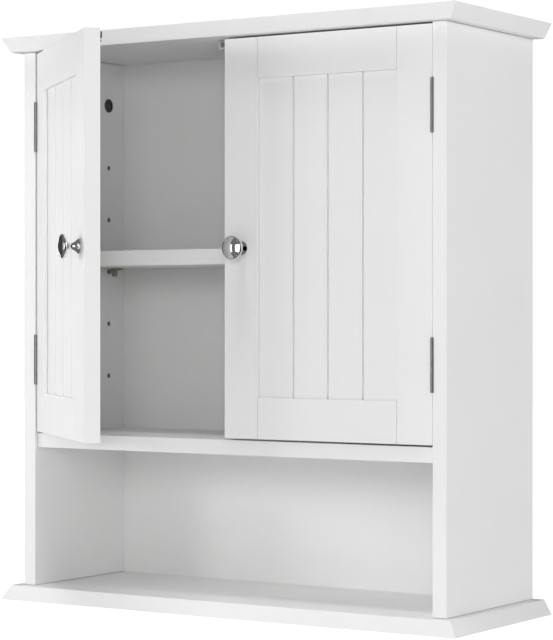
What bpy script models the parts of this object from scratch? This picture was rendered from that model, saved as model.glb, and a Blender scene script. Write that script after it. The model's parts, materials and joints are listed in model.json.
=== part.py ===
"""Hanging wall cabinet with two beadboard doors over an open cubby.

Metres, +Z up. The origin is the middle of the crown's rear edge, on the wall: +X runs to the viewer's
right, +Y into the wall. Depths are counted back from the front edges of the side panels, and heights
up from the underside of the base. The left door stands partly open and the right door is closed.
"""
import math

import bmesh
import bpy
from mathutils import Matrix, Vector

# ---- driving dimensions ----
HEIGHT = 0.592                # underside of the base to top of the crown
CARCASS_WIDTH = 0.508         # across the outer faces of the side panels
PANEL_DEPTH = 0.180           # side panels, front to back
REAR_LIP = 0.006              # crown and base reach this far behind the side panels
BOARD = 0.015                 # thickness of the carcass boards
THICK_BOARD = 0.016           # thickness of the doors and the adjustable shelf
NARROW_OVERHANG = 0.010       # crown and base beyond the side panels, at the face that meets them
WIDE_OVERHANG_SIDE = 0.0185   # the same at the outer face, left and right
WIDE_OVERHANG_FRONT = 0.017   # the same at the outer face, in front
GAP = 0.0003                  # clearance between pieces that rest on each other

FIXED_SHELF_HEIGHT = 0.1605   # underside of the fixed shelf
FIXED_SHELF_SETBACK = 0.0033
BACK_DEPTH = 0.156            # front face of the back panel
BACK_THICKNESS = 0.005
BACK_GROOVE = 0.005           # how deep the back panel's grooves are cut
RAIL_HEIGHT = 0.070

DOOR_BOTTOM = 0.1773
DOOR_TOP = 0.5752
DOOR_SETBACK = 0.0015         # door faces behind the front edges of the side panels
HINGE_EDGE_GAP = 0.0009       # door to side panel
MIDDLE_GAP = 0.0013           # door to the middle of the cabinet
HINGE_STILE = 0.0389
FREE_STILE = 0.0393
DOOR_RAIL = 0.041
RECESS = 0.0040               # beadboard face behind the door's face
BEAD_THICKNESS = 0.006
BEAD_TONGUE = 0.008           # depth of the groove that holds the beadboard
BEAD_GROOVES = 3
BEAD_GROOVE_WIDTH = 0.0021
BEAD_GROOVE_DEPTH = 0.0040
LEFT_DOOR_OPEN = math.radians(40.2)

HINGE_LENGTH = 0.0518
LOWER_HINGE_INSET = 0.0498    # end of the door to the near end of its lower hinge
UPPER_HINGE_INSET = 0.0511    # the same for its upper hinge
KNUCKLES = 5
KNUCKLE_RADIUS = 0.0016
BORE_RADIUS = 0.0008
PIN_RADIUS = 0.00075
LEAF_THICKNESS = 0.0009
LEAF_DEPTH = 0.014
LEAF_GAP = 0.00015            # each leaf's face to the plane of the hinge's axis
KNUCKLE_GAP = 0.0002

KNOB_HEIGHT = 0.3665
KNOB_TO_EDGE = 0.0205
KNOB_BORE = 0.0023
KNOB_BORE_DEPTH = 0.012

SHELF_PIN_PITCH = 0.057
SHELF_PIN_MIDDLE = 0.3472     # height of the middle hole of each column
SHELF_PIN_DEPTHS = (0.050, 0.128)
SHELF_PIN_RADIUS = 0.0024
SHELF_PIN_HOLE_DEPTH = 0.0085
SPADE_WIDTH = 0.006
SHELF_FRONT = 0.030
SHELF_END_GAP = 0.002

CAM_RADIUS = 0.0073
CAM_LENGTH = 0.0120
CAM_PROUD = 0.0002            # how far a cam's face stands inside its board's face
CAM_MOUTH = 0.0074            # square hollow in a cam, where the bolt's head enters
CAM_SLOT = (0.0016, 0.010, 0.0016)   # driver slot: width, length, depth
CAM_DROP = 0.047              # top edge of a side panel to its cams
CAM_DEPTHS = (0.045, 0.128)
SHELF_CAM_INSET = 0.034       # end of the fixed shelf to its cam
BOLT_THREAD = 0.011
DOWEL_HOLE = 0.003            # radius of the holes that bolts and screws bite into
FASTENER_SIDES = 12
SCREW_LENGTH = 0.045

CATCH_SIZE = (0.038, 0.0155, 0.0088)
CATCH_WALL = 0.0018           # plastic above and below the magnet
MAGNET_SIZE = (0.031, 0.009)  # width and depth
STRIKE_SIZE = (0.016, 0.0014, 0.0066)
HANGER_SIZE = (0.018, 0.002, 0.042)
HANGER_OFFSET = 0.200

# ---- worked-out places ----
FRONT_Y = -(PANEL_DEPTH + REAR_LIP)
BOTTOM_Z = BOARD / 2 - HEIGHT
OUTER_X = CARCASS_WIDTH / 2
INNER_X = OUTER_X - BOARD
CROWN_UNDERSIDE = HEIGHT - BOARD
FIXED_SHELF_TOP = FIXED_SHELF_HEIGHT + BOARD
AXIS_X = INNER_X - HINGE_EDGE_GAP / 2
DOOR_WIDTH = INNER_X - HINGE_EDGE_GAP - MIDDLE_GAP
DOOR_NEAR = HINGE_EDGE_GAP / 2             # hinge edge of a door, from the hinge axis
DOOR_FAR = DOOR_NEAR + DOOR_WIDTH         # free edge of a door, from the hinge axis
DOOR_REAR = DOOR_SETBACK + THICK_BOARD
SHELF_UNDERSIDE = SHELF_PIN_MIDDLE + 0.0041
SIDES = (("left", -1), ("right", 1))


def y_at(depth):
    """World Y of a depth behind the front edges of the side panels."""
    return FRONT_Y + depth


def z_at(height):
    """World Z of a height above the underside of the base."""
    return BOTTOM_Z + height


# ---- materials ----
def make_material(name, colour, roughness, metallic):
    material = bpy.data.materials.new(name)
    material.use_nodes = True
    shader = material.node_tree.nodes["Principled BSDF"]
    shader.inputs["Base Color"].default_value = (*colour, 1)
    shader.inputs["Roughness"].default_value = roughness
    shader.inputs["Metallic"].default_value = metallic
    return material


# ---- mesh building ----
def add_box(bm, low, high):
    """A box between two corners, given in either order along each axis."""
    centre = [(a + b) / 2 for a, b in zip(low, high)]
    size = [abs(b - a) for a, b in zip(low, high)]
    place = Matrix.Translation(centre) @ Matrix.Diagonal((*size, 1))
    bmesh.ops.create_cube(bm, size=1, matrix=place)


def add_prism(bm, outline, start, end, axis="z"):
    """A flat outline pushed from start to end along an axis; its points are the other two axes."""
    place = {
        "y": lambda p, q: (p[0], q, p[1]),
        "z": lambda p, q: (p[0], p[1], q),
    }[axis]
    face = bm.faces.new([bm.verts.new(place(point, start)) for point in outline])
    pushed = bmesh.ops.extrude_face_region(bm, geom=[face])["geom"]
    moved = [item for item in pushed if isinstance(item, bmesh.types.BMVert)]
    bmesh.ops.translate(bm, verts=moved, vec=Vector(place((0, 0), end)) - Vector(place((0, 0), start)))


def add_turned(bm, profile, origin, direction, segments):
    """A turned shape: profile holds (radius, distance along direction) points from end to end."""
    axis = Vector(direction)
    place = Matrix.Translation(origin) @ axis.to_track_quat("Z", "Y").to_matrix().to_4x4()
    verts = [bm.verts.new(place @ Vector((radius, 0, along))) for radius, along in profile]
    edges = [bm.edges.new(pair) for pair in zip(verts, verts[1:])]
    bmesh.ops.spin(bm, geom=verts + edges, cent=origin, axis=axis, angle=math.tau,
                   steps=segments, use_merge=True)
    bmesh.ops.remove_doubles(bm, verts=bm.verts, dist=1e-6)


def rod(radius, start, end):
    """The profile of a plain round rod."""
    return [(0, start), (radius, start), (radius, end), (0, end)]


def make_object(name, bm, material, parent=None, smooth=False):
    bmesh.ops.recalc_face_normals(bm, faces=bm.faces)
    mesh = bpy.data.meshes.new(name)
    bm.to_mesh(mesh)
    bm.free()
    if smooth:
        mesh.shade_smooth()
        mesh.set_sharp_from_angle(angle=math.radians(35))
    if material:
        mesh.materials.append(material)
    thing = bpy.data.objects.new(name, mesh)
    thing.parent = parent
    bpy.context.scene.collection.objects.link(thing)
    return thing


def apply_tool(target, bm, operation="DIFFERENCE"):
    """Cut the target with a hidden tool shape, or join the shape to it."""
    tool = make_object(f"{target.name}_tool_{len(target.modifiers)}", bm, None, target.parent)
    tool.hide_render = True
    tool.display_type = "WIRE"
    modifier = target.modifiers.new(tool.name, "BOOLEAN")
    modifier.operation = operation
    modifier.object = tool


def board(name, low, high, material, parent=None):
    bm = bmesh.new()
    add_box(bm, low, high)
    return make_object(name, bm, material, parent)


# ---- fasteners ----
def cam_and_bolt(name, face, inward, along, reach, cut_cam, cut_bolt, materials):
    """A round cam let into a board, and the bolt that it pulls.

    face is the middle of the cam's visible end, inward runs into the board, along runs from the cam to
    the joint, which is reach away. cut_cam and cut_bolt collect the holes that both need.
    """
    face, inward, along = Vector(face), Vector(inward), Vector(along)
    across = inward.cross(along)
    centre = face + inward * BOARD / 2

    bm = bmesh.new()
    add_turned(bm, rod(CAM_RADIUS, 0, CAM_LENGTH), face, inward, 24)
    cam = make_object(f"{name}_cam", bm, materials["dark steel"], smooth=True)
    bm = bmesh.new()
    mouth = (across + inward) * CAM_MOUTH / 2
    add_box(bm, centre - mouth - along * 0.0016, centre + mouth + along * (CAM_RADIUS + 0.001))
    width, length, depth = CAM_SLOT
    slot = (across * width + along * length) / 2
    add_box(bm, face - slot - inward * 0.001, face + slot + inward * depth)
    apply_tool(cam, bm)

    head, neck, shank, thread = 0.003, 0.0018, 0.003, 0.0027
    end = reach + BOLT_THREAD
    bolt = [(0, -0.001), (head, -0.001), (head, 0.002), (neck, 0.003), (neck, 0.008), (shank, 0.009),
            (shank, reach - 0.001), (thread, reach), (thread, end - 0.001), (0.002, end), (0, end)]
    bm = bmesh.new()
    add_turned(bm, bolt, centre, along, FASTENER_SIDES)
    make_object(f"{name}_bolt", bm, materials["zinc"], smooth=True)

    add_turned(cut_cam, rod(CAM_RADIUS + GAP, -0.002, CAM_LENGTH + GAP), face, inward, 24)
    add_turned(cut_bolt, rod(shank + 0.0005, 0.004, end + GAP), centre, along, FASTENER_SIDES)


def base_screw(name, x, depth, cut, materials):
    """A screw up through the base into the foot of a side panel."""
    origin = (x, y_at(depth), z_at(0))
    head, shank, thread = 0.0048, 0.0034, 0.0026
    shape = [(0, 0.0005), (head, 0.0005), (head, 0.0012), (shank, 0.0042), (shank, BOARD - 0.001),
             (thread, BOARD), (thread, SCREW_LENGTH - 0.003), (0, SCREW_LENGTH)]
    bm = bmesh.new()
    add_turned(bm, shape, origin, (0, 0, 1), FASTENER_SIDES)
    make_object(name, bm, materials["zinc"], smooth=True)
    room = 0.0005
    hole = [(0, -0.001), (head + room, -0.001), (head + room, 0.0016), (shank + room, 0.0046),
            (shank + room, BOARD + 0.002), (0, BOARD + 0.002)]
    add_turned(cut, hole, origin, (0, 0, 1), FASTENER_SIDES)


# ---- carcass ----
def edge_board(name, narrow_height, wide_height, material):
    """Crown or base: its front and side edges slope from a narrow face out to a wide one."""
    bm = bmesh.new()
    rings = []
    for height, side, front in ((narrow_height, NARROW_OVERHANG, NARROW_OVERHANG),
                                (wide_height, WIDE_OVERHANG_SIDE, WIDE_OVERHANG_FRONT)):
        x = OUTER_X + side
        y = FRONT_Y - front
        z = z_at(height)
        rings.append([bm.verts.new(point) for point in ((-x, y, z), (x, y, z), (x, 0, z), (-x, 0, z))])
    bm.faces.new(rings[0])
    bm.faces.new(rings[1])
    for i in range(4):
        j = (i + 1) % 4
        bm.faces.new((rings[0][i], rings[0][j], rings[1][j], rings[1][i]))
    return make_object(name, bm, material)


def hinge_pocket(x_sign, low):
    """The mortise for a leaf and its barrel: outline about the hinge axis, lower end, upper end."""
    near = HINGE_EDGE_GAP / 4
    far = LEAF_GAP + LEAF_THICKNESS + GAP
    room = KNUCKLE_RADIUS + 0.00035
    outline = [(near, -0.001), (room, -0.001), (room, room), (far, room),
               (far, LEAF_DEPTH + GAP), (near, LEAF_DEPTH + GAP)]
    return [(x_sign * u, v) for u, v in outline], low - GAP, low + HINGE_LENGTH + GAP


def hinge_bottoms():
    """Heights of the lower ends of a door's two hinges."""
    return DOOR_BOTTOM + LOWER_HINGE_INSET, DOOR_TOP - UPPER_HINGE_INSET - HINGE_LENGTH


def make_carcass(materials):
    white = materials["white paint"]
    crown = edge_board("crown_panel", CROWN_UNDERSIDE, HEIGHT, white)
    base = edge_board("base_panel", BOARD, 0, white)
    fixed_shelf = board(
        "fixed_shelf",
        (-INNER_X + GAP, y_at(FIXED_SHELF_SETBACK), z_at(FIXED_SHELF_HEIGHT)),
        (INNER_X - GAP, y_at(BACK_DEPTH - GAP), z_at(FIXED_SHELF_TOP)), white)
    crown_holes = bmesh.new()
    base_holes = bmesh.new()
    shelf_cam_holes = bmesh.new()
    shelf_bolt_holes = bmesh.new()

    for side, sign in SIDES:
        inner = sign * INNER_X
        panel = board(f"{side}_side_panel",
                      (inner, y_at(0), z_at(BOARD + GAP)),
                      (sign * OUTER_X, y_at(PANEL_DEPTH), z_at(CROWN_UNDERSIDE - GAP)), white)
        cam_face = inner + sign * CAM_PROUD
        cam_height = CROWN_UNDERSIDE - CAM_DROP
        cam_holes = bmesh.new()
        bolt_holes = bmesh.new()
        for place, depth in zip(("front", "rear"), CAM_DEPTHS):
            cam_and_bolt(f"{side}_{place}_crown", (cam_face, y_at(depth), z_at(cam_height)),
                         (sign, 0, 0), (0, 0, 1), CAM_DROP, cam_holes, bolt_holes, materials)
            add_turned(crown_holes, rod(DOWEL_HOLE, -0.001, BOLT_THREAD + GAP),
                       (cam_face + sign * BOARD / 2, y_at(depth), z_at(CROWN_UNDERSIDE)), (0, 0, 1),
                       FASTENER_SIDES)
        apply_tool(panel, cam_holes)
        apply_tool(panel, bolt_holes)

        small_holes = bmesh.new()
        for depth in SHELF_PIN_DEPTHS:
            for step in range(-2, 3):
                origin = (inner, y_at(depth), z_at(SHELF_PIN_MIDDLE + step * SHELF_PIN_PITCH))
                add_turned(small_holes, rod(SHELF_PIN_RADIUS + GAP, -0.001, SHELF_PIN_HOLE_DEPTH),
                           origin, (sign, 0, 0), FASTENER_SIDES)
        for low in hinge_bottoms():
            outline, start, end = hinge_pocket(sign, low)
            placed = [(sign * AXIS_X + u, y_at(v)) for u, v in outline]
            add_prism(small_holes, placed, z_at(start), z_at(end))
        apply_tool(panel, small_holes)

        shelf_holes = bmesh.new()
        add_box(shelf_holes, (inner - sign * 0.001, y_at(BACK_DEPTH - GAP), z_at(0)),
                (inner + sign * BACK_GROOVE, y_at(BACK_DEPTH + BACK_THICKNESS + GAP), z_at(HEIGHT)))
        cam_height = FIXED_SHELF_HEIGHT + CAM_PROUD
        cam_and_bolt(f"{side}_shelf",
                     (inner - sign * SHELF_CAM_INSET, y_at(BACK_DEPTH / 2), z_at(cam_height)),
                     (0, 0, 1), (sign, 0, 0), SHELF_CAM_INSET, shelf_cam_holes, shelf_bolt_holes,
                     materials)
        add_turned(shelf_holes, rod(DOWEL_HOLE, -0.001, BOLT_THREAD + GAP),
                   (inner, y_at(BACK_DEPTH / 2), z_at(cam_height + BOARD / 2)), (sign, 0, 0),
                   FASTENER_SIDES)
        apply_tool(panel, shelf_holes)

        foot_holes = bmesh.new()
        for place, depth in zip(("front", "rear"), CAM_DEPTHS):
            x = sign * (OUTER_X - BOARD / 2)
            base_screw(f"{side}_{place}_base_screw", x, depth, base_holes, materials)
            add_turned(foot_holes, rod(DOWEL_HOLE, BOARD - 0.001, SCREW_LENGTH + 2 * GAP),
                       (x, y_at(depth), z_at(0)), (0, 0, 1), FASTENER_SIDES)
        apply_tool(panel, foot_holes)

    for holes, low, high in ((crown_holes, CROWN_UNDERSIDE - 0.001, CROWN_UNDERSIDE + BACK_GROOVE),
                             (base_holes, BOARD - BACK_GROOVE, BOARD + 0.001)):
        add_box(holes, (-INNER_X - BACK_GROOVE, y_at(BACK_DEPTH - GAP), z_at(low)),
                (INNER_X + BACK_GROOVE, y_at(BACK_DEPTH + BACK_THICKNESS + GAP), z_at(high)))
    apply_tool(crown, crown_holes)
    apply_tool(base, base_holes)
    apply_tool(fixed_shelf, shelf_cam_holes)
    apply_tool(fixed_shelf, shelf_bolt_holes)

    reach = BACK_GROOVE - GAP
    board("back_panel",
          (-INNER_X - reach, y_at(BACK_DEPTH), z_at(BOARD - reach)),
          (INNER_X + reach, y_at(BACK_DEPTH + BACK_THICKNESS), z_at(CROWN_UNDERSIDE + reach)), white)


def make_hanging(materials):
    """The rail behind the back panel, and the two keyhole plates that hang the cabinet."""
    near = BACK_DEPTH + BACK_THICKNESS + GAP
    top = CROWN_UNDERSIDE - GAP
    board("hanging_rail",
          (-INNER_X + GAP, y_at(near), z_at(top - RAIL_HEIGHT)),
          (INNER_X - GAP, y_at(near + BOARD), z_at(top)), materials["bare board"])
    width, thickness, length = HANGER_SIZE
    face = near + BOARD + GAP
    middle = top - RAIL_HEIGHT / 2
    for side, sign in SIDES:
        x = sign * HANGER_OFFSET
        plate = board(f"{side}_hanger_plate",
                      (x - width / 2, y_at(face), z_at(middle - length / 2)),
                      (x + width / 2, y_at(face + thickness), z_at(middle + length / 2)),
                      materials["zinc"])
        keyhole = keyhole_outline(x, z_at(middle), 0.0045, 0.0023, 0.009)
        bm = bmesh.new()
        add_prism(bm, keyhole, y_at(face - 0.001), y_at(face + thickness + 0.001), "y")
        apply_tool(plate, bm)


def keyhole_outline(x, z, head_radius, slot_radius, slot_length):
    """A round hole for a screw's head, with a narrow slot above it for its shank."""
    start = math.acos(slot_radius / head_radius)
    sweep = math.tau - math.pi + 2 * start
    points = []
    for step in range(13):
        angle = math.pi - start + sweep * step / 12
        points.append((x + head_radius * math.cos(angle), z + head_radius * math.sin(angle)))
    for step in range(7):
        angle = math.pi * step / 6
        points.append((x + slot_radius * math.cos(angle),
                       z + slot_length + slot_radius * math.sin(angle)))
    return points


def make_adjustable_shelf(materials):
    """The loose shelf and the four spade pins that it lies on."""
    end = INNER_X - SHELF_END_GAP
    board("adjustable_shelf",
          (-end, y_at(SHELF_FRONT), z_at(SHELF_UNDERSIDE)),
          (end, y_at(BACK_DEPTH - 0.001), z_at(SHELF_UNDERSIDE + THICK_BOARD)), materials["white paint"])
    top = SHELF_UNDERSIDE - GAP
    # each pin's body and ledge: distance from the side panel, and height
    spade = [(0.0045, top), (0.0190, top), (0.0190, top - 0.0012), (0.0115, top - 0.0038),
             (0.0095, top - 0.0090), (0.0067, top - 0.0090), (0.0054, top - 0.0040)]
    for side, sign in SIDES:
        for place, depth in zip(("front", "rear"), SHELF_PIN_DEPTHS):
            bm = bmesh.new()
            outline = [(sign * (INNER_X - out), z_at(height)) for out, height in spade]
            add_prism(bm, outline, y_at(depth - SPADE_WIDTH / 2), y_at(depth + SPADE_WIDTH / 2), "y")
            pin = make_object(f"{side}_{place}_shelf_pin", bm, materials["dull nickel"])
            bm = bmesh.new()
            origin = (sign * INNER_X, y_at(depth), z_at(SHELF_PIN_MIDDLE))
            add_turned(bm, rod(SHELF_PIN_RADIUS, -0.006, SHELF_PIN_HOLE_DEPTH - 0.0005), origin,
                       (sign, 0, 0), FASTENER_SIDES)
            apply_tool(pin, bm, "UNION")


def make_catch(materials):
    """The double magnetic catch under the crown, behind the meeting edges of the doors."""
    width, depth, height = CATCH_SIZE
    front = DOOR_REAR + STRIKE_SIZE[1] + 2 * GAP
    top = CROWN_UNDERSIDE - GAP
    body = board("magnetic_catch_body", (-width / 2, y_at(front), z_at(top - height)),
                 (width / 2, y_at(front + depth), z_at(top)), materials["white plastic"])
    magnet_width, magnet_depth = MAGNET_SIZE
    low = top - height + CATCH_WALL
    high = top - CATCH_WALL
    bm = bmesh.new()
    add_box(bm, (-magnet_width / 2 - GAP, y_at(front - 0.001), z_at(low)),
            (magnet_width / 2 + GAP, y_at(front + magnet_depth + GAP), z_at(high)))
    apply_tool(body, bm)
    board("magnetic_catch_magnet", (-magnet_width / 2, y_at(front + GAP), z_at(low + GAP)),
          (magnet_width / 2, y_at(front + magnet_depth), z_at(high - GAP)), materials["dark steel"])


# ---- hinges ----
def leaf_outline(x_sign):
    """Section of a leaf wrapped round its barrel: (distance from the axis plane, depth) points."""
    near = LEAF_GAP
    far = LEAF_GAP + LEAF_THICKNESS
    first = math.asin(math.sqrt(KNUCKLE_RADIUS ** 2 - far ** 2) / KNUCKLE_RADIUS)
    last = math.asin(math.sqrt(KNUCKLE_RADIUS ** 2 - near ** 2) / KNUCKLE_RADIUS) - math.tau
    steps = 16
    points = []
    for step in range(steps + 1):
        angle = first + (last - first) * step / steps
        points.append((KNUCKLE_RADIUS * math.cos(angle), KNUCKLE_RADIUS * math.sin(angle)))
    points += [(near, LEAF_DEPTH), (far, LEAF_DEPTH)]
    return [(x_sign * u, v) for u, v in points]


def make_leaf(name, low, x_sign, keeps, parent, material):
    """One leaf with the knuckles whose numbers are even or odd; the other leaf's are cut away."""
    bm = bmesh.new()
    add_prism(bm, leaf_outline(x_sign), low, low + HINGE_LENGTH)
    leaf = make_object(name, bm, material, parent, smooth=True)
    length = HINGE_LENGTH / KNUCKLES
    room = KNUCKLE_RADIUS + 0.0003
    bm = bmesh.new()
    for number in range(KNUCKLES):
        if number % 2 == keeps:
            continue
        start = low + number * length - KNUCKLE_GAP / 2
        end = start + length + KNUCKLE_GAP
        if number == 0:
            start -= 0.001
        if number == KNUCKLES - 1:
            end += 0.001
        add_box(bm, (-room, -room, start), (room, room, end))
    apply_tool(leaf, bm)
    bm = bmesh.new()
    add_turned(bm, rod(BORE_RADIUS, low - 0.001, low + HINGE_LENGTH + 0.001), (0, 0, 0), (0, 0, 1), 16)
    apply_tool(leaf, bm)


def make_hinge(name, low, sign, door_empty, carcass_empty, material):
    """A butt hinge: fixed leaf and pin on the carcass, the other leaf on the door."""
    make_leaf(f"{name}_fixed_leaf", low, sign, 0, carcass_empty, material)
    make_leaf(f"{name}_door_leaf", low, -sign, 1, door_empty, material)
    top = low + HINGE_LENGTH
    end_radius = PIN_RADIUS * 0.6
    profile = [(0, low), (end_radius, low), (PIN_RADIUS, low + 0.0004), (PIN_RADIUS, top - 0.0004),
               (end_radius, top), (0, top)]
    bm = bmesh.new()
    add_turned(bm, profile, (0, 0, 0), (0, 0, 1), 16)
    make_object(f"{name}_pin", bm, material, carcass_empty, smooth=True)


# ---- doors ----
def knob_profile():
    """Mushroom knob: flared foot, thin neck, domed head; (radius, distance from the door's face)."""
    foot = [(0, KNOB_BORE_DEPTH), (KNOB_BORE, KNOB_BORE_DEPTH), (KNOB_BORE, GAP), (0.0075, GAP),
            (0.0076, 0.0012), (0.0066, 0.0024)]
    neck = [(0.0048, 0.0042), (0.0037, 0.0065), (0.0032, 0.0088), (0.0034, 0.0104), (0.0048, 0.0120)]
    head = [(0.0085, 0.0134), (0.0104, 0.0142), (0.0117, 0.0156), (0.0120, 0.0171), (0.0116, 0.0186),
            (0.0103, 0.0197), (0.0083, 0.0204), (0.0052, 0.0212), (0, 0.0217)]
    return foot + neck + head


def make_knob(door, inward, door_empty, materials):
    x = inward * (DOOR_FAR - KNOB_TO_EDGE)
    bm = bmesh.new()
    add_turned(bm, knob_profile(), (x, DOOR_SETBACK, KNOB_HEIGHT), (0, -1, 0), 24)
    make_object(f"{door}_knob", bm, materials["chrome"], door_empty, smooth=True)
    head, shank = 0.0038, 0.0018
    reach = THICK_BOARD + 0.010
    profile = [(0, -0.0024), (0.0028, -0.0022), (head, -0.0010), (head, -GAP), (shank, -GAP),
               (shank, reach), (0, reach)]
    bm = bmesh.new()
    add_turned(bm, profile, (x, DOOR_REAR, KNOB_HEIGHT), (0, -1, 0), FASTENER_SIDES)
    make_object(f"{door}_knob_screw", bm, materials["zinc"], door_empty, smooth=True)
    hole = bmesh.new()
    add_turned(hole, rod(0.0021, -0.001, THICK_BOARD + 0.001), (x, DOOR_REAR, KNOB_HEIGHT), (0, -1, 0),
               FASTENER_SIDES)
    return hole


def bead_outline(near, far, front):
    """Section of the beadboard: flat behind, with evenly spaced V grooves in its face."""
    rear = front + BEAD_THICKNESS
    points = [(near - BEAD_TONGUE, rear), (near - BEAD_TONGUE, front)]
    for number in range(1, BEAD_GROOVES + 1):
        middle = near + (far - near) * number / (BEAD_GROOVES + 1)
        points += [(middle - BEAD_GROOVE_WIDTH / 2, front), (middle, front + BEAD_GROOVE_DEPTH),
                   (middle + BEAD_GROOVE_WIDTH / 2, front)]
    return points + [(far + BEAD_TONGUE, front), (far + BEAD_TONGUE, rear)]


def make_door(door, sign, materials):
    """One five-piece door, built closed about its hinge axis and then swung to its rest angle."""
    white = materials["white paint"]
    inward = -sign
    carcass_empty = bpy.data.objects.new(f"{door}_hinge_line", None)
    door_empty = bpy.data.objects.new(f"{door}_door_pivot", None)
    for empty in (carcass_empty, door_empty):
        empty.location = (sign * AXIS_X, y_at(0), z_at(0))
        bpy.context.scene.collection.objects.link(empty)
    if door == "left":
        door_empty.rotation_euler = (0, 0, -LEFT_DOOR_OPEN)

    front, rear = DOOR_SETBACK, DOOR_REAR
    near = DOOR_NEAR + HINGE_STILE            # where the rails and the beadboard start
    far = DOOR_FAR - FREE_STILE
    groove_front = front + RECESS - GAP
    groove_rear = front + RECESS + BEAD_THICKNESS + GAP
    groove = BEAD_TONGUE + GAP

    hinge_stile = board(f"{door}_door_hinge_stile", (inward * DOOR_NEAR, front, DOOR_BOTTOM),
                        (inward * (near - GAP / 2), rear, DOOR_TOP), white, door_empty)
    bm = bmesh.new()
    add_box(bm, (inward * (near - groove), groove_front, DOOR_BOTTOM - 0.001),
            (inward * (near + 0.001), groove_rear, DOOR_TOP + 0.001))
    for low in hinge_bottoms():
        add_prism(bm, *hinge_pocket(inward, low))
    apply_tool(hinge_stile, bm)

    free_stile = board(f"{door}_door_free_stile", (inward * (far + GAP / 2), front, DOOR_BOTTOM),
                       (inward * DOOR_FAR, rear, DOOR_TOP), white, door_empty)
    bm = bmesh.new()
    add_box(bm, (inward * (far + groove), groove_front, DOOR_BOTTOM - 0.001),
            (inward * (far - 0.001), groove_rear, DOOR_TOP + 0.001))
    apply_tool(free_stile, bm)
    apply_tool(free_stile, make_knob(f"{door}_door", inward, door_empty, materials))

    tongue_front = front + RECESS
    tongue_rear = tongue_front + BEAD_THICKNESS
    shoulder_near = near + GAP / 2
    shoulder_far = far - GAP / 2
    plan = [(shoulder_near, front), (shoulder_near, tongue_front), (near - BEAD_TONGUE, tongue_front),
            (near - BEAD_TONGUE, tongue_rear), (shoulder_near, tongue_rear), (shoulder_near, rear),
            (shoulder_far, rear), (shoulder_far, tongue_rear), (far + BEAD_TONGUE, tongue_rear),
            (far + BEAD_TONGUE, tongue_front), (shoulder_far, tongue_front), (shoulder_far, front)]
    placed = [(inward * x, y) for x, y in plan]
    for name, low, inner_edge, towards in (("top_rail", DOOR_TOP - DOOR_RAIL, DOOR_TOP - DOOR_RAIL, 1),
                                           ("bottom_rail", DOOR_BOTTOM, DOOR_BOTTOM + DOOR_RAIL, -1)):
        bm = bmesh.new()
        add_prism(bm, placed, low, low + DOOR_RAIL)
        rail = make_object(f"{door}_door_{name}", bm, white, door_empty)
        bm = bmesh.new()
        add_box(bm, (inward * (near - 0.02), groove_front, inner_edge - towards * 0.001),
                (inward * (far + 0.02), groove_rear, inner_edge + towards * groove))
        apply_tool(rail, bm)

    bm = bmesh.new()
    outline = [(inward * x, y) for x, y in bead_outline(near, far, front + RECESS)]
    add_prism(bm, outline, DOOR_BOTTOM + DOOR_RAIL - BEAD_TONGUE, DOOR_TOP - DOOR_RAIL + BEAD_TONGUE)
    make_object(f"{door}_door_beadboard", bm, white, door_empty)

    width, thickness, height = STRIKE_SIZE
    top = DOOR_TOP - 0.0028
    edge = DOOR_FAR - 0.001
    board(f"{door}_door_strike_plate", (inward * (edge - width), rear + GAP, top - height),
          (inward * edge, rear + GAP + thickness, top), materials["dark steel"], door_empty)

    for place, low in zip(("lower", "upper"), hinge_bottoms()):
        make_hinge(f"{door}_{place}_hinge", low, sign, door_empty, carcass_empty, materials["nickel"])


def main():
    for thing in list(bpy.data.objects):
        bpy.data.objects.remove(thing)
    materials = {
        "white paint": make_material("white paint", (0.82, 0.82, 0.81), 0.42, 0),
        "bare board": make_material("bare board", (0.50, 0.37, 0.24), 0.8, 0),
        "white plastic": make_material("white plastic", (0.80, 0.80, 0.78), 0.35, 0),
        "chrome": make_material("chrome", (0.80, 0.80, 0.81), 0.07, 1),
        "nickel": make_material("nickel", (0.58, 0.57, 0.55), 0.25, 1),
        "dull nickel": make_material("dull nickel", (0.36, 0.35, 0.28), 0.35, 1),
        "dark steel": make_material("dark steel", (0.22, 0.22, 0.22), 0.4, 1),
        "zinc": make_material("zinc", (0.40, 0.40, 0.39), 0.4, 1),
    }
    make_carcass(materials)
    make_hanging(materials)
    make_adjustable_shelf(materials)
    make_catch(materials)
    for side, sign in SIDES:
        make_door(side, sign, materials)


main()
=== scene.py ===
"""Finish of the hanging wall cabinet: painted boards, panelled doors, fittings, studio and camera.

Metres, +Z up, in the cabinet's own frame: +X to the viewer's right, +Y into the wall. Places come from
the boxes of the frame's parts. What is the same on both hands is made once on the right and copied to the
left, and door parts are made on the closed right door.
"""
import json
import math

import bmesh
import bpy
from mathutils import Matrix, Vector


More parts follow.
